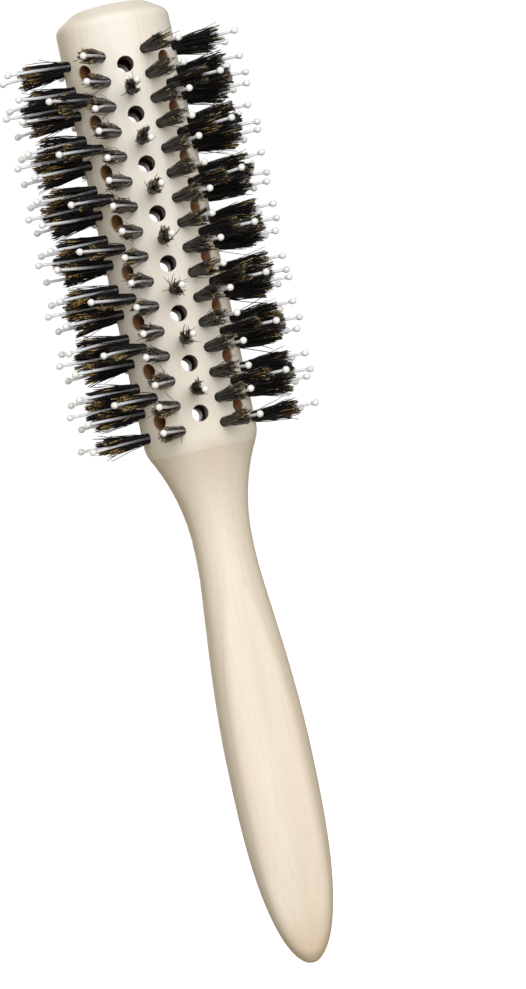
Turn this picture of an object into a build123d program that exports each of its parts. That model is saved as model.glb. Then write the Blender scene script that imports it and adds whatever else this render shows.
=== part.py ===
from build123d import *

import os
from math import sqrt

# Round barrel brush: a vented wooden barrel glued on a turned wooden handle. Each tuft in the
# barrel is a bundle of bristles folded over a flat wire anchor, with one nylon quill that ends in
# a ball. Millimetres, +Z along the brush from the handle's tip to the barrel's crown, -Y is the
# front.

# Barrel
barrel_diameter = 29.4
barrel_length = 116.0
crown_flat_radius = 9.1  # the flat end, before its edge is rounded
crown_drop = 3.6  # height of the bevel round the flat end
crown_upper_round = 6.0
crown_lower_round = 3.0
lower_taper_height = 4.0  # the barrel closes in towards the joint over this height
lower_taper_depth = 1.0
core_diameter = 11.4
core_end_wall = 10.0  # wood left between the core and the crown

# Rows of tufts and vents round the barrel
row_count = 16  # vented and closed rows take turns
tuft_pitch = 6.45  # along a closed row
closed_row_tufts = 16
first_tuft_above_joint = 5.8
first_vent_above_tuft = 3.45
vent_diameter = 4.25

# One tuft
tuft_hole_diameter = 2.6
tuft_hole_depth = 6.0
tuft_reach = 27.3  # from the barrel's axis to the bristle tips
tuft_tip_diameter = 4.8
tuft_dome = 0.7  # how far the middle of the tips stands above their rim
bundle_clearance = 0.05
quill_diameter = 0.75
quill_offset = 0.65  # the quill stands this far to one side of the tuft's middle
quill_short_leg = 2.6
quill_clearance = 0.02
ball_diameter = 1.8
ball_reach = 31.4  # from the barrel's axis to the middle of the ball
anchor_thickness = 0.35
anchor_height = 1.4
anchor_above_floor = 1.1
anchor_clearance = 0.02

# Handle
handle_length = 134.0
neck_diameter = 15.3
neck_length = 2.0
flare_length = 24.5
tenon_to_vent = 1.0  # wood left between the tenon's end and the lowest vents
tenon_chamfer = 0.8
glue_gap = 0.05
grip_width = 22.2
grip_widest_at = 53.0  # above the tip
tip_bluntness = 2.7
flat_thickness = 16.0
flat_taper_from = 50.0  # the two flats close in below this height
flat_tip_thickness = 7.2
flat_edge_round = 3.0

barrel_radius = barrel_diameter / 2
core_radius = core_diameter / 2
neck_radius = neck_diameter / 2
quill_radius = quill_diameter / 2
ball_radius = ball_diameter / 2
joint_z = handle_length
crown_z = joint_z + barrel_length
joint_edge = (barrel_radius - lower_taper_depth, joint_z)
vent_pitch = 2 * tuft_pitch
vent_ring_count = closed_row_tufts // 2
first_tuft_z = joint_z + first_tuft_above_joint
first_vent_z = first_tuft_z + first_vent_above_tuft
tuft_hole_floor = barrel_radius - tuft_hole_depth
bundle_radius = tuft_hole_diameter / 2 - bundle_clearance
anchor_bottom = tuft_hole_floor + anchor_above_floor
anchor_reach = tuft_hole_diameter / 2 - anchor_clearance
anchor_length = sqrt(4 * anchor_reach**2 - anchor_thickness**2)
tenon_end = first_vent_z - vent_diameter / 2 - tenon_to_vent
neck_top_z = joint_z - flare_length
neck_bottom_z = neck_top_z - neck_length


def row_angle(row):
    """Degrees round +Z from +X to a row. Row 0 is vented and faces the front."""
    return -90 + row * 360 / row_count


def is_vented(row):
    return row % 2 == 0


def tuft_heights(row):
    """The heights of a row's tufts. In a vented row a tuft stands between each two vents."""
    if is_vented(row):
        lowest = first_tuft_z + 1.5 * tuft_pitch
        return [lowest + i * vent_pitch for i in range(vent_ring_count - 1)]
    return [first_tuft_z + i * tuft_pitch for i in range(closed_row_tufts)]


def vent_heights():
    return [first_vent_z + i * vent_pitch for i in range(vent_ring_count)]


def tuft_frame(row, height):
    """A tuft's own frame: its origin on the barrel's axis, Z out along the tuft, X round it."""
    outward = Vector(1, 0, 0).rotate(Axis.Z, row_angle(row))
    sideways = Vector(0, 1, 0).rotate(Axis.Z, row_angle(row))
    return Location(Plane(origin=(0, 0, height), x_dir=sideways, z_dir=outward))


def row_locations(row):
    return [tuft_frame(row, height) for height in tuft_heights(row)]


def barrel_blank():
    """The turned barrel before drilling."""
    taper_top = (barrel_radius, joint_z + lower_taper_height)
    shoulder = (barrel_radius, crown_z - crown_drop)
    flat_edge = (crown_flat_radius, crown_z)
    outline = [
        Polyline(taper_top, shoulder, flat_edge, (0, crown_z), (0, joint_z), joint_edge),
        TangentArc(taper_top, joint_edge, tangent=(0, -1)),
    ]
    section = Plane.XZ * make_face(Curve() + outline)
    for (x, z), radius in ((flat_edge, crown_upper_round), (shoulder, crown_lower_round)):
        corner = section.vertices().sort_by_distance((x, 0, z))[0]
        section = fillet(corner, radius)
    return revolve(section, Axis.Z)


def vent_drills():
    """One drill through the barrel for each pair of opposite vents."""
    drill = Cylinder(vent_diameter / 2, barrel_diameter + 2)
    return [
        Pos(0, 0, height) * Rot(0, 0, row_angle(row)) * Rot(0, 90, 0) * drill
        for height in vent_heights()
        for row in range(0, row_count // 2, 2)
    ]


def barrel():
    """The drilled barrel: the core, the vents and one blind hole for each tuft."""
    core_length = barrel_length - core_end_wall
    base = (Align.CENTER, Align.CENTER, Align.MIN)
    core = Pos(0, 0, joint_z) * Cylinder(core_radius, core_length, align=base)
    hole = Pos(0, 0, tuft_hole_floor) * Cylinder(
        tuft_hole_diameter / 2, tuft_hole_depth + 1, align=base
    )
    holes = [at * hole for row in range(row_count) for at in row_locations(row)]
    return barrel_blank() - [core, *vent_drills(), *holes]


def grip_radius(height):
    """The turned radius of the grip's lower half, at a height above the tip."""
    share = (grip_widest_at - height) / grip_widest_at
    return grip_width / 2 * sqrt(1 - share**tip_bluntness)


def turned_handle():
    """The handle as it leaves the lathe, with its tenon."""
    tenon_radius = core_radius - glue_gap
    neck_top = (neck_radius, neck_top_z)
    neck_bottom = (neck_radius, neck_bottom_z)
    widest = (grip_width / 2, grip_widest_at)
    tip_heights = [grip_widest_at * share for share in (0.6, 0.35, 0.18, 0.08, 0.025)]
    outline = [
        Polyline(
            (0, 0),
            (0, tenon_end),
            (tenon_radius - tenon_chamfer, tenon_end),
            (tenon_radius, tenon_end - tenon_chamfer),
            (tenon_radius, joint_z),
            joint_edge,
        ),
        TangentArc(neck_top, joint_edge, tangent=(0, 1)),
        Line(neck_top, neck_bottom),
        Spline(neck_bottom, widest, tangents=[(0, -1), (0, -1)], tangent_scalars=[0.55, 1.3]),
        Spline(
            widest,
            *[(grip_radius(height), height) for height in tip_heights],
            (0, 0),
            tangents=[(0, -1), (-1, 0)],
        ),
    ]
    return revolve(Plane.XZ * make_face(Curve() + outline), Axis.Z)


def flat_waste():
    """What is sanded off the front and the back of the grip to make its two flats."""
    half = flat_thickness / 2
    half_tip = flat_tip_thickness / 2
    outer = grip_width
    side = [
        Line((half, neck_bottom_z), (half, flat_taper_from)),
        TangentArc((half, flat_taper_from), (half_tip, 0), tangent=(0, -1)),
        Polyline((half_tip, 0), (half_tip, -1), (outer, -1), (outer, neck_bottom_z),
                 (half, neck_bottom_z)),
    ]
    waste = extrude(Plane.YZ * make_face(Curve() + side), grip_width, both=True)
    return [waste, mirror(waste, Plane.XZ)]


def handle():
    """The finished handle, with the edges of its two flats rounded over."""
    body = turned_handle() - flat_waste()
    curved = body.edges().filter_by(GeomType.BSPLINE)
    flat_edges = [edge for edge in curved if abs(edge.center().Y) > flat_tip_thickness / 4]
    return fillet(flat_edges, flat_edge_round)


def bundle_blank():
    """A bristle bundle as one flared body, from the fold in the hole to the tips."""
    rim = tuft_reach - tuft_dome
    section = make_face(
        Plane.XZ
        * (
            Curve()
            + [
                Polyline(
                    (0, tuft_reach),
                    (0, tuft_hole_floor + bundle_clearance),
                    (bundle_radius, tuft_hole_floor + bundle_clearance),
                    (bundle_radius, barrel_radius),
                    (tuft_tip_diameter / 2, rim),
                ),
                TangentArc((0, tuft_reach), (tuft_tip_diameter / 2, rim), tangent=(1, 0)),
            ]
        )
    )
    return revolve(section, Axis.Z)


def quill_rod(radius):
    """The quill's rod: its short leg, the fold under the anchor and the long leg to the ball."""
    fold_z = anchor_bottom
    path = Curve() + [
        Line((-quill_offset, fold_z + quill_short_leg), (-quill_offset, fold_z)),
        TangentArc((-quill_offset, fold_z), (quill_offset, fold_z), tangent=(0, -1)),
        Line((quill_offset, fold_z), (quill_offset, ball_reach)),
    ]
    path = Plane.XZ * path
    start = Plane(origin=path @ 0, z_dir=path % 0)
    return sweep(start * Circle(radius), path=path)


def anchor(clearance=0.0):
    """The flat wire driven into the hole over the folded bundle."""
    middle = anchor_bottom + anchor_height / 2
    return Pos(0, 0, middle) * Box(
        anchor_thickness + 2 * clearance, anchor_length, anchor_height + 2 * clearance
    )


def ball():
    return Pos(quill_offset, 0, ball_reach) * Sphere(ball_radius)


def bundle():
    """The bundle with the room that the quill and the anchor take in it."""
    return bundle_blank() - [quill_rod(quill_radius + quill_clearance), anchor(quill_clearance)]


def write(name, shape):
    export_step(shape, os.path.join("parts", f"{name}.step"))


def placed(piece, locations):
    """Copies of one piece, as separate solids."""
    solid = piece.solids()[0]
    return Compound(children=[at * copy_of(solid) for at in locations])


def copy_of(solid):
    return solid.moved(Location())


def main():
    os.makedirs("parts", exist_ok=True)
    write("barrel", barrel())
    write("handle", handle())
    one_bundle, one_ball, one_anchor = bundle(), ball(), anchor()
    one_quill = quill_rod(quill_radius) - one_ball
    for row in range(row_count):
        name = f"row_{row + 1:02d}"
        write(f"bristles_{name}", placed(one_bundle, row_locations(row)))
        write(f"quills_{name}", placed(one_quill, row_locations(row)))
        write(f"ball_tips_{name}", placed(one_ball, row_locations(row)))
    for name, vented in (("vented", True), ("closed", False)):
        rows = [row for row in range(row_count) if is_vented(row) == vented]
        spots = [at for row in rows for at in row_locations(row)]
        write(f"anchors_{name}_rows", placed(one_anchor, spots))


main()
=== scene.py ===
import math

import bpy
import numpy as np
from mathutils import Matrix, Vector


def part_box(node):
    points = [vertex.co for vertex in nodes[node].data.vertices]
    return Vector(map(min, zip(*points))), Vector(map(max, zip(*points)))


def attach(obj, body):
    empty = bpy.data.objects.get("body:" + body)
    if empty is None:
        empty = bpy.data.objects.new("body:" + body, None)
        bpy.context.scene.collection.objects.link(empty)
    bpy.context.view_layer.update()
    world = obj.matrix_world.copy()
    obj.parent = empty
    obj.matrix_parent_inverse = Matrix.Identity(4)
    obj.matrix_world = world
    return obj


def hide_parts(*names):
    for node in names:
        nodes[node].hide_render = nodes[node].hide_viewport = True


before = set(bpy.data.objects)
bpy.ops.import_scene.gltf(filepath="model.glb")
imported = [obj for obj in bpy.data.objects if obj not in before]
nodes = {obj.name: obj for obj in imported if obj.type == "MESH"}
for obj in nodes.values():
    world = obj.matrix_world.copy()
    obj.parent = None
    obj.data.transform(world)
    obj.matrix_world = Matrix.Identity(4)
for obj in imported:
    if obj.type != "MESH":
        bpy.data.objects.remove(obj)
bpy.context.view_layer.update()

# The looks of the round barrel brush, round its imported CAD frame. Metres, in the frame's own axes:
# +Z runs from the handle's tip to the barrel's crown, and -Y is the front.

MM = 0.001

# ---------------------------------------------------------------- what the frame says
barrel_low, barrel_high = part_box("barrel")
BARREL_R = (barrel_high.x - barrel_low.x) / 2
JOINT_Z = barrel_low.z
CROWN_Z = barrel_high.z
ROWS = sorted(n[len("bristles_"):] for n in nodes if n.startswith("bristles_row_"))
ball_low, ball_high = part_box("ball_tips_row_01")
BALL_R = (ball_high.x - ball_low.x) / 2
BALL_REACH = -(ball_low.y + BALL_R)
bundle_low, bundle_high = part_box("bristles_row_01")
TUFT_REACH = -bundle_low.y
HOLE_FLOOR = -bundle_high.y
CLOSED_TUFTS = 16
VENTED_TUFTS = 7
FRONT = -90  # degrees round +Z to row 01, the middle of the front


def row_facts(index):
    """(angle round +Z, list of the tufts' heights) of a row."""
    low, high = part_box(f"ball_tips_{ROWS[index]}")
    count = VENTED_TUFTS if index % 2 == 0 else CLOSED_TUFTS
    angle = math.radians(FRONT + index * 360 / len(ROWS))
    return angle, np.linspace(low.z + BALL_R, high.z - BALL_R, count)


# ---------------------------------------------------------------- meshes
NEAR_UP = [0.013, 0.021, 1.0]  # never parallel to a tube, so it can set how a ring starts


def mesh_object(name, verts, faces, smooth=True):
    """A new object in the scene, from points of any array shape and lists of their indices."""
    mesh = bpy.data.meshes.new(name)
    mesh.from_pydata(verts.reshape(-1, 3).tolist(), [], faces)
    mesh.polygons.foreach_set("use_smooth", [smooth] * len(mesh.polygons))
    mesh.update()
    obj = bpy.data.objects.new(name, mesh)
    bpy.context.scene.collection.objects.link(obj)
    return obj


def tube_points(paths, radii, sides):
    """Rings of points round each path. paths is (n, k, 3) and radii (n, k)."""
    ahead = np.gradient(paths, axis=1)
    ahead /= np.linalg.norm(ahead, axis=2, keepdims=True)
    across = np.cross(ahead, np.broadcast_to(NEAR_UP, ahead.shape))
    across /= np.linalg.norm(across, axis=2, keepdims=True)
    other = np.cross(ahead, across)
    turn = np.arange(sides) * 2 * math.pi / sides
    ring = (
        across[:, :, None, :] * np.cos(turn)[None, None, :, None]
        + other[:, :, None, :] * np.sin(turn)[None, None, :, None]
    )
    return paths[:, :, None, :] + ring * radii[:, :, None, None]


def tube_faces(count, rings, sides):
    """The faces of that many closed tubes."""
    one = []
    for k in range(rings - 1):
        for s in range(sides):
            a, b = k * sides + s, k * sides + (s + 1) % sides
            one.append((a, b, b + sides, a + sides))
    one.append(tuple(reversed(range(sides))))
    one.append(tuple((rings - 1) * sides + s for s in range(sides)))
    step = rings * sides
    return [tuple(v + i * step for v in face) for i in range(count) for face in one]


def give_values(obj, name, values):
    """One number on each point of a mesh, for its material."""
    attribute = obj.data.attributes.new(name, "FLOAT", "POINT")
    attribute.data.foreach_set("value", values.astype(np.float32))


def tuft_axes(angle):
    """(outward, sideways, up) unit vectors of the tufts in a row."""
    outward = np.array([math.cos(angle), math.sin(angle), 0.0])
    sideways = np.array([-math.sin(angle), math.cos(angle), 0.0])
    return outward, sideways, np.array([0.0, 0.0, 1.0])


STRANDS = 118  # bristles in one tuft
STRAND_SIDES = 3
STRAND_STEPS = np.array([-0.30, 0.0, 0.20, 0.42, 0.64, 0.80, 0.90, 1.0])  # 0 skin, 1 tip
ROOT_R = 1.2 * MM  # the bundle at the barrel's skin
QUILL_GAP_FROM = 0.30 * MM  # no bristle stands where the quill does
QUILL_GAP = 0.44 * MM
LOCKS = 11  # clumps that a tuft's bristles gather in
TIP_SPREAD = 1.85
LOCK_SPREAD = 1.95
TIP_LEAN = 0.30 * MM
STRAY_SHARE = 0.09
STRAY_SPREAD = 1.15 * MM
TIP_BELOW_REACH = 0.15 * MM
LOCK_REACH = 0.40 * MM
SHORT_SHARE = 0.22
SHORT_BY = 3.8 * MM
BOW = 0.22 * MM
KINK = 0.10 * MM
FLARE_POWER = 1.30
STRAND_R_AT = [-0.3, 0.0, 0.6, 1.0]
STRAND_R = [0.09, 0.10, 0.115, 0.075]  # mm
LOCK_GOLD = [0.04, 0.18, 0.55]  # shares of golden tips in a dark, a mixed and a golden lock
GOLD_RISE = 0.08
GOLD_THICKER = 0.50
PALE_SIDE, PAINTED_FRONT_LIGHT = 0.06, 0.94  # how pale bristles may be at the sides, at random, and how much paler the front rows get as painted light


def strands_of_tuft(rng, angle, height, lean, gilt):
    """The paths and radii of one tuft's bristles, and how golden each ring of them is.

    Across the tuft, the first number goes round the barrel and the second up the brush.
    """
    outward, sideways, up = tuft_axes(angle)
    radius = ROOT_R * np.sqrt(rng.random(STRANDS * 2))
    turn = rng.random(STRANDS * 2) * 2 * math.pi
    root = np.stack([radius * np.cos(turn), radius * np.sin(turn)], axis=1)
    clear = ~((root[:, 0] > QUILL_GAP_FROM) & (np.abs(root[:, 1]) < QUILL_GAP))
    root = root[clear][:STRANDS]
    lock_at = root[rng.integers(0, len(root), LOCKS)]
    apart = np.linalg.norm(root[:, None, :] - lock_at[None, :, :], axis=2)
    lock = np.argmin(apart, axis=1)
    spread = rng.normal(TIP_SPREAD, 0.15, (len(root), 1))
    tip = root * spread + rng.normal(0, 0.16 * MM, root.shape) + lean
    lock_tip = lock_at * LOCK_SPREAD + rng.normal(0, 0.20 * MM, lock_at.shape) + lean
    tip += (lock_tip[lock] - tip) * rng.uniform(0.1, 0.6, (len(root), 1))
    stray = rng.random(len(root)) < STRAY_SHARE
    tip[stray] += rng.normal(0, STRAY_SPREAD, (stray.sum(), 2))
    reach = TUFT_REACH - TIP_BELOW_REACH + rng.normal(0, 0.25 * MM, len(root))
    reach += rng.normal(0, LOCK_REACH, LOCKS)[lock]
    short = rng.random(len(root)) < SHORT_SHARE
    reach[short] -= rng.random(short.sum()) * SHORT_BY
    bow = rng.normal(0, BOW, root.shape)
    kink = rng.normal(0, KINK, root.shape)
    s = STRAND_STEPS[None, :, None]
    rise = np.clip(s, 0, None)
    flat = root[:, None, :] + (tip - root)[:, None, :] * rise**FLARE_POWER
    flat = flat + bow[:, None, :] * np.sin(math.pi * rise)
    phase = 8 * turn[: len(root), None, None]
    flat = flat + kink[:, None, :] * np.sin(3 * math.pi * rise + phase)
    along = BARREL_R + (reach - BARREL_R)[:, None] * STRAND_STEPS[None, :]
    paths = (
        outward * along[:, :, None]
        + sideways * flat[:, :, :1]
        + up * (flat[:, :, 1:] + height)
    )
    taper = np.interp(STRAND_STEPS, STRAND_R_AT, STRAND_R) * MM
    radii = taper[None, :] * rng.normal(1.0, 0.14, (len(root), 1))
    share = gilt * rng.choice(LOCK_GOLD, LOCKS)[lock]
    gold = np.where(rng.random(len(root)) < share, rng.uniform(0.5, 1.0, len(root)), 0.0)
    start = rng.uniform(0.64, 0.92, len(root))
    past_start = (STRAND_STEPS[None, :] - start[:, None]) / GOLD_RISE
    golden = gold[:, None] * np.clip(past_start, 0, 1)
    radii *= 1 + GOLD_THICKER * golden
    return paths, radii, golden


def bristle_row(index, name):
    """All the bristles of a row, with a golden and a strand value on every point."""
    rng = np.random.default_rng(1000 + index)
    angle, heights = row_facts(index)
    gilt = 0.90 - 0.40 * math.cos(angle)
    facing = max(0.0, -math.sin(angle)) ** 8
    parts = []
    for height in heights:
        lean = rng.normal(0, TIP_LEAN, 2)
        parts.append(strands_of_tuft(rng, angle, height, lean, gilt))
    paths = np.concatenate([p[0] for p in parts])
    radii = np.concatenate([p[1] for p in parts])
    golden = np.concatenate([p[2] for p in parts])
    points = tube_points(paths, radii, STRAND_SIDES)
    obj = mesh_object(name, points, tube_faces(len(paths), len(STRAND_STEPS), STRAND_SIDES))
    give_values(obj, "golden", np.repeat(golden.reshape(-1), STRAND_SIDES))
    # rows facing the front get paler strands: painted light
    each = rng.random(len(paths)) * (PALE_SIDE + PAINTED_FRONT_LIGHT * facing)
    give_values(obj, "strand", np.repeat(each, len(STRAND_STEPS) * STRAND_SIDES))
    return obj


QUILL_RINGS = 12
QUILL_SIDES = 10
QUILL_R = 0.39 * MM
QUILL_SIDE = 0.85 * MM  # how far round the barrel the quill stands from the tuft's middle
QUILL_START = 1.5 * MM  # above the bottom of its hole
QUILL_LEAN = np.array([0.30, 0.42]) * MM
QUILL_DRIFT = 0.12 * MM  # to the same side, at the ball
QUILL_BOW = 0.16
QUILL_REACH = 0.30
LEAN_POWER = 1.3


def quill_path(rng, angle, height):
    """The centre line of one quill, from inside its hole to the middle of its ball."""
    outward, sideways, up = tuft_axes(angle)
    lean = rng.normal(0, 1.0, 2) * QUILL_LEAN
    bow = rng.normal(0, QUILL_BOW, 2) * MM
    t = np.linspace(0, 1, QUILL_RINGS)
    first = HOLE_FLOOR + QUILL_START
    reach = BALL_REACH + rng.normal(0, QUILL_REACH) * MM
    along = first + (reach - first) * t
    free = np.clip((along - BARREL_R) / (reach - BARREL_R), 0, 1)
    tilt = free**LEAN_POWER
    arch = np.sin(math.pi * free)
    side = QUILL_SIDE + (QUILL_DRIFT + lean[0]) * tilt + bow[0] * arch
    lift = lean[1] * tilt + bow[1] * arch
    return outward * along[:, None] + sideways * side[:, None] + up * (lift + height)[:, None]


BALL_SEGMENTS = 24
BALL_PROFILE = [  # (along the quill, out from it), in ball radii from the ball's middle
    (-1.34, 0.43), (-1.16, 0.46), (-1.02, 0.52), (-0.90, 0.62), (-0.74, 0.755),
    (-0.54, 0.875), (-0.30, 0.965), (0.0, 1.0), (0.30, 0.955), (0.56, 0.83),
    (0.78, 0.63), (0.92, 0.40), (0.985, 0.18),
]


def ball_points(path):
    """A resin ball turned about the end of its quill, with a short collar over the nylon."""
    end = path[-1]
    ahead = path[-1] - path[-2]
    ahead = ahead / np.linalg.norm(ahead)
    across = np.cross(ahead, NEAR_UP)
    across /= np.linalg.norm(across)
    other = np.cross(ahead, across)
    turn = np.arange(BALL_SEGMENTS) * 2 * math.pi / BALL_SEGMENTS
    ring = np.cos(turn)[:, None] * across + np.sin(turn)[:, None] * other
    rings = [end + ahead * a * BALL_R + ring * r * BALL_R for a, r in BALL_PROFILE]
    return np.stack(rings)


def quill_row(index, quill_name, ball_name):
    """A row's quills, with an along value that grows towards the ball, and a row's balls."""
    rng = np.random.default_rng(5000 + index)
    angle, heights = row_facts(index)
    paths = np.stack([quill_path(rng, angle, height) for height in heights])
    radii = np.full(paths.shape[:2], QUILL_R)
    quills = mesh_object(
        quill_name,
        tube_points(paths, radii, QUILL_SIDES),
        tube_faces(len(paths), QUILL_RINGS, QUILL_SIDES),
    )
    free = np.linalg.norm(paths[:, :, :2], axis=2)
    free = np.clip((free - BARREL_R) / (BALL_REACH - BARREL_R), 0, 1)
    give_values(quills, "along", np.repeat(free.reshape(-1), QUILL_SIDES))
    balls = mesh_object(
        ball_name,
        np.stack([ball_points(path) for path in paths]),
        tube_faces(len(paths), len(BALL_PROFILE), BALL_SEGMENTS),
    )
    return quills, balls


# ---------------------------------------------------------------- materials
class Nodes:
    """Short calls for building one node tree."""

    def __init__(self, tree):
        self.tree = tree

    def add(self, kind, inputs=None, **settings):
        node = self.tree.nodes.new(kind)
        for key, value in settings.items():
            setattr(node, key, value)
        for key, value in (inputs or {}).items():
            if isinstance(value, bpy.types.NodeSocket):
                self.tree.links.new(value, node.inputs[key])
            else:
                node.inputs[key].default_value = value
        return node

    def math(self, operation, a, b=0.0):
        return self.add("ShaderNodeMath", {0: a, 1: b}, operation=operation).outputs[0]

    def ramp(self, value, low, high, smooth=True):
        node = self.add("ShaderNodeMapRange", {0: value, 1: low, 2: high, 3: 0.0, 4: 1.0})
        node.interpolation_type = "SMOOTHSTEP" if smooth else "LINEAR"
        return node.outputs[0]

    def mix(self, factor, a, b, blend="MIX"):
        node = self.add("ShaderNodeMix", data_type="RGBA", blend_type=blend)
        for socket, value in ((0, factor), (6, a), (7, b)):
            if isinstance(value, bpy.types.NodeSocket):
                self.tree.links.new(value, node.inputs[socket])
            else:
                node.inputs[socket].default_value = value
        return node.outputs[2]

    def place(self):
        return self.add("ShaderNodeTexCoord").outputs["Object"]

    def noise(self, scale, detail=3.0, rough=0.55, distortion=0.0):
        """Noise whose grains have these three sizes, in millimetres."""
        stretch = self.add(
            "ShaderNodeMapping", {"Vector": self.place(), "Scale": tuple(1000 / s for s in scale)}
        )
        node = self.add(
            "ShaderNodeTexNoise",
            {
                "Vector": stretch.outputs[0],
                "Scale": 1.0,
                "Detail": detail,
                "Roughness": rough,
                "Distortion": distortion,
            },
        )
        return node.outputs["Fac"]


def material(name):
    """A new material, calls to build its nodes, and its shader."""
    mat = bpy.data.materials.new(name)
    mat.use_nodes = True
    tree = mat.node_tree
    tree.nodes.clear()
    n = Nodes(tree)
    shader = n.add("ShaderNodeBsdfPrincipled")
    out = n.add("ShaderNodeOutputMaterial")
    tree.links.new(shader.outputs[0], out.inputs[0])
    return mat, n, shader


def link(n, source, socket):
    n.tree.links.new(source, socket)


CROWN_WOOD = 6.0 * MM  # no hole starts this near the crown
JOINT_WOOD = 4.0 * MM  # or this near the joint
BLUR = 0.4 * MM


def wood(name, pale, shade, fleck, drilled=None, roughness=0.55, painted_shade_below=0.0):
    """Pale close-grained wood with its grain along Z.

    drilled is the colour of a hole's wall: a darker brown with a random mottle, and darker still far
    inside, which is painted shade. Below the height given by the last argument, the wood darkens
    towards z = 0: painted shade.
    """
    mat, n, shader = material(name)
    broad = n.noise((9.0, 9.0, 90.0), 2.0, 0.5)
    grain = n.noise((0.55, 0.55, 16.0), 3.0, 0.6, 0.15)
    fine = n.noise((0.16, 0.16, 3.2), 2.0, 0.6)
    mottle = n.noise((1.1, 1.1, 2.4), 3.0, 0.65)
    streak = n.noise((1.7, 1.7, 38.0), 3.0, 0.55, 0.4)
    colour = n.mix(n.ramp(broad, 0.30, 0.72), pale, shade)
    colour = n.mix(n.math("MULTIPLY", n.ramp(streak, 0.52, 0.78), 0.35), colour, shade)
    colour = n.mix(n.math("MULTIPLY", n.ramp(mottle, 0.48, 0.75), 0.28), colour, shade)
    colour = n.mix(n.math("MULTIPLY", n.ramp(grain, 0.50, 0.80), 0.30), colour, fleck)
    colour = n.mix(n.math("MULTIPLY", n.ramp(fine, 0.66, 0.80), 0.45), colour, fleck)
    rough = n.math("MULTIPLY_ADD", grain, 0.12)
    rough.node.inputs[2].default_value = roughness - 0.06
    height = n.math("MULTIPLY_ADD", grain, 0.6)
    link(n, n.math("MULTIPLY", fine, 0.4), height.node.inputs[2])
    x, y, z = n.add("ShaderNodeSeparateXYZ", {0: n.place()}).outputs
    # painted shade: the wood darkens towards z = 0 below the given height
    if painted_shade_below:
        painted_tip_shade = n.math("MULTIPLY", n.ramp(z, painted_shade_below, 0.0), 0.65)
        colour = n.mix(painted_tip_shade, colour, fleck)
    if drilled:
        axle = n.math("SQRT", n.math("ADD", n.math("MULTIPLY", x, x), n.math("MULTIPLY", y, y)))
        inside = n.ramp(axle, BARREL_R - 0.25 * MM, BARREL_R - 0.75 * MM)
        below = n.ramp(z, CROWN_Z - CROWN_WOOD, CROWN_Z - CROWN_WOOD - 0.5 * MM)
        above = n.ramp(z, JOINT_Z + JOINT_WOOD, JOINT_Z + JOINT_WOOD + BLUR)
        bored = n.math("MULTIPLY", inside, n.math("MULTIPLY", below, above))
        # the hole walls are a darker brown with a random mottle
        wall_mottle = n.noise((0.5, 0.5, 0.5), 2.0)
        # painted shade: the wall darkens further inside the hole
        deep_shade = n.ramp(axle, BARREL_R - 0.8 * MM, BARREL_R - 6.0 * MM)
        wall = n.mix(n.ramp(wall_mottle, 0.35, 0.70), drilled[0], drilled[1])
        wall = n.mix(deep_shade, wall, drilled[2])
        colour = n.mix(bored, colour, wall)
    bump = n.add("ShaderNodeBump", {"Height": height, "Strength": 0.10, "Distance": 0.05 * MM})
    link(n, colour, shader.inputs["Base Color"])
    link(n, rough, shader.inputs["Roughness"])
    link(n, bump.outputs[0], shader.inputs["Normal"])
    shader.inputs["Specular IOR Level"].default_value = 0.35
    return mat


def rgb(r, g, b):
    return (r, g, b, 1.0)


def bristle_material():
    mat, n, shader = material("bristle")
    golden = n.add("ShaderNodeAttribute", attribute_name="golden").outputs["Fac"]
    strand = n.add("ShaderNodeAttribute", attribute_name="strand").outputs["Fac"]
    # strand mixes near-black bristle towards a pale olive grey: a random tone, and on the front rows
    # painted light
    dark = n.mix(strand, rgb(0.0035, 0.0035, 0.005), rgb(0.25, 0.235, 0.200))
    gold = n.mix(n.ramp(strand, 0.0, 0.06), rgb(0.42, 0.23, 0.055), rgb(0.80, 0.57, 0.23))
    mottle = n.noise((0.36, 0.36, 0.36), 1.0)
    amount = n.math("MULTIPLY", golden, n.ramp(mottle, 0.40, 0.55))
    link(n, n.mix(amount, dark, gold), shader.inputs["Base Color"])
    link(n, n.ramp(strand, -1.0, 3.0, False), shader.inputs["Roughness"])
    shader.inputs["Specular IOR Level"].default_value = 0.26
    return mat


def quill_material():
    mat, n, shader = material("quill_nylon")
    cloud = n.noise((1.2, 1.2, 1.2), 2.0)
    along = n.add("ShaderNodeAttribute", attribute_name="along").outputs["Fac"]
    # the quill darkens towards its base, in among the bristles: painted shade
    deep_shade = n.mix(cloud, rgb(0.060, 0.064, 0.080), rgb(0.10, 0.105, 0.125))
    clear = n.mix(cloud, rgb(0.80, 0.85, 0.95), rgb(0.90, 0.94, 1.0))
    link(n, n.mix(n.ramp(along, 0.10, 0.95), deep_shade, clear), shader.inputs["Base Color"])
    link(n, n.ramp(cloud, -1.5, 6.0, False), shader.inputs["Roughness"])
    shader.inputs["Specular IOR Level"].default_value = 0.8
    return mat


def ball_material():
    mat, n, shader = material("ball_tip")
    cloud = n.noise((0.9, 0.9, 0.9), 2.0)
    link(n, n.mix(cloud, rgb(0.89, 0.91, 0.94), rgb(0.94, 0.96, 0.99)), shader.inputs["Base Color"])
    link(n, n.ramp(cloud, -0.4, 5.0, False), shader.inputs["Roughness"])
    shader.inputs["Coat Weight"].default_value = 0.6
    shader.inputs["Coat Roughness"].default_value = 0.05
    return mat


def anchor_material():
    mat, n, shader = material("anchor_wire")
    drawn = n.noise((0.08, 0.08, 1.5), 2.0)
    link(n, n.mix(drawn, rgb(0.40, 0.40, 0.39), rgb(0.62, 0.62, 0.60)), shader.inputs["Base Color"])
    link(n, n.ramp(drawn, -0.5, 2.0, False), shader.inputs["Roughness"])
    shader.inputs["Metallic"].default_value = 1.0
    return mat


def give(obj, mat):
    obj.data.materials.clear()
    obj.data.materials.append(mat)


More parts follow.
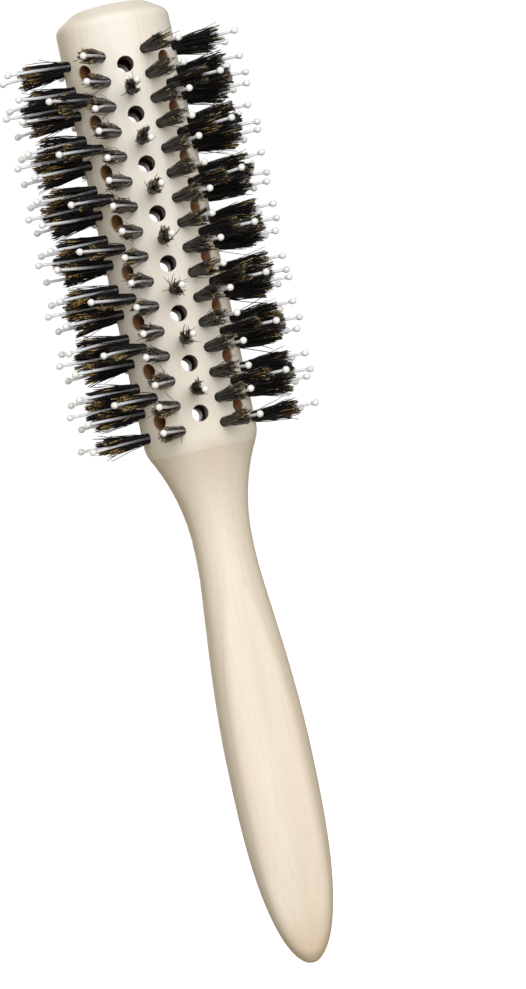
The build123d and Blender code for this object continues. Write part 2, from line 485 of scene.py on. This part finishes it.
# ---------------------------------------------------------------- the object
barrel_wood = wood(
    "wood_barrel",
    rgb(0.875, 0.848, 0.790), rgb(0.810, 0.752, 0.655), rgb(0.66, 0.56, 0.42),
    drilled=(rgb(0.40, 0.195, 0.085), rgb(0.25, 0.115, 0.045), rgb(0.11, 0.052, 0.026)),
)
# the handle's wood darkens towards its tip: painted shade
handle_wood = wood(
    "wood_handle",
    rgb(0.825, 0.765, 0.675), rgb(0.755, 0.675, 0.560), rgb(0.60, 0.475, 0.335),
    roughness=0.46, painted_shade_below=18 * MM,
)
bristle, quill, ball, wire = (
    bristle_material(), quill_material(), ball_material(), anchor_material()
)

for node, mat in (
    ("barrel", barrel_wood),
    ("handle", handle_wood),
    ("anchors_vented_rows", wire),
    ("anchors_closed_rows", wire),
):
    for slot in nodes[node].material_slots:
        slot.material = mat

for index, row in enumerate(ROWS):
    hair = bristle_row(index, f"hair_tufts_{row}")
    quills, balls = quill_row(index, f"nylon_quills_{row}", f"resin_balls_{row}")
    for piece, mat, slot, node in (
        (hair, bristle, "bristle", f"bristles_{row}"),
        (quills, quill, "quill_nylon", f"quills_{row}"),
        (balls, ball, "ball_tip", f"ball_tips_{row}"),
    ):
        give(piece, mat)
        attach(piece, "root")
        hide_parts(node)

# ---------------------------------------------------------------- floor, light and camera
FLOOR_R = 8.0
FLOOR_Z = -0.2 * MM
FLOOR_SEGMENTS = 96
turn = np.arange(FLOOR_SEGMENTS) * 2 * math.pi / FLOOR_SEGMENTS
flat = np.full(FLOOR_SEGMENTS, FLOOR_Z)
disc = np.stack([FLOOR_R * np.cos(turn), FLOOR_R * np.sin(turn), flat], axis=1)
floor = mesh_object("floor", disc, [tuple(range(FLOOR_SEGMENTS))], smooth=False)
floor_mat, n, shader = material("floor")
shader.inputs["Base Color"].default_value = rgb(0.93, 0.93, 0.93)
shader.inputs["Roughness"].default_value = 0.9
shader.inputs["Specular IOR Level"].default_value = 0.0
shader.inputs["Emission Color"].default_value = rgb(1.0, 1.0, 1.0)
shader.inputs["Emission Strength"].default_value = 0.75
give(floor, floor_mat)
floor.visible_diffuse = False
floor.visible_glossy = False
floor.visible_transmission = False


def sun(name, azimuth, elevation, strength, softness):
    """A soft far light. In degrees, azimuth 0 is the front, and 90 is +X."""
    lamp = bpy.data.lights.new(name, "SUN")
    lamp.energy = strength
    lamp.angle = math.radians(softness)
    obj = bpy.data.objects.new(name, lamp)
    a, e = math.radians(azimuth), math.radians(elevation)
    towards = Vector((math.sin(a) * math.cos(e), -math.cos(a) * math.cos(e), math.sin(e)))
    obj.rotation_mode = "QUATERNION"
    obj.rotation_quaternion = towards.to_track_quat("Z", "Y")
    bpy.context.scene.collection.objects.link(obj)


sun("key", 8, 13, 2.50, 42)
sun("fill", -38, 8, 0.35, 60)
sun("top", 0, 60, 0.38, 50)
sun("back", 188, 16, 1.0, 40)

scene = bpy.context.scene
world = bpy.data.worlds.new("studio")
scene.world = world
world.use_nodes = True
world.node_tree.nodes.clear()
w = Nodes(world.node_tree)
around = w.add("ShaderNodeBackground", {"Color": rgb(1.0, 0.86, 0.64), "Strength": 0.30})
behind = w.add("ShaderNodeBackground", {"Color": rgb(1, 1, 1), "Strength": 1.05})
path = w.add("ShaderNodeLightPath").outputs
through = w.math("MAXIMUM", path["Is Camera Ray"], path["Is Transmission Ray"])
seen = w.add("ShaderNodeMixShader", {0: through})
w.tree.links.new(around.outputs[0], seen.inputs[1])
w.tree.links.new(behind.outputs[0], seen.inputs[2])
sky = w.add("ShaderNodeOutputWorld")
w.tree.links.new(seen.outputs[0], sky.inputs[0])
scene.view_settings.view_transform = "Standard"
scene.view_settings.look = "None"

AZIMUTH = math.radians(-5.5)
ROLL = math.radians(12.1)
DISTANCE = 1.26
AIM_ASIDE = 12.6 * MM
AIM_HEIGHT = 119.75 * MM
back = Vector((math.sin(AZIMUTH), -math.cos(AZIMUTH), 0))
right = Vector((math.cos(AZIMUTH), math.sin(AZIMUTH), 0))
camera = bpy.data.objects.new("camera", bpy.data.cameras.new("camera"))
scene.collection.objects.link(camera)
camera.data.sensor_width = 36
camera.data.lens = 179.2
camera.data.clip_start, camera.data.clip_end = 0.01, 30
camera.location = Vector((0, 0, AIM_HEIGHT)) + right * AIM_ASIDE + back * DISTANCE
up = Vector((0, 0, 1)) * math.cos(ROLL) + right * math.sin(ROLL)
side = up.cross(back)
camera.rotation_mode = "QUATERNION"
camera.rotation_quaternion = Matrix((side, up, back)).transposed().to_quaternion()
scene.camera = camera
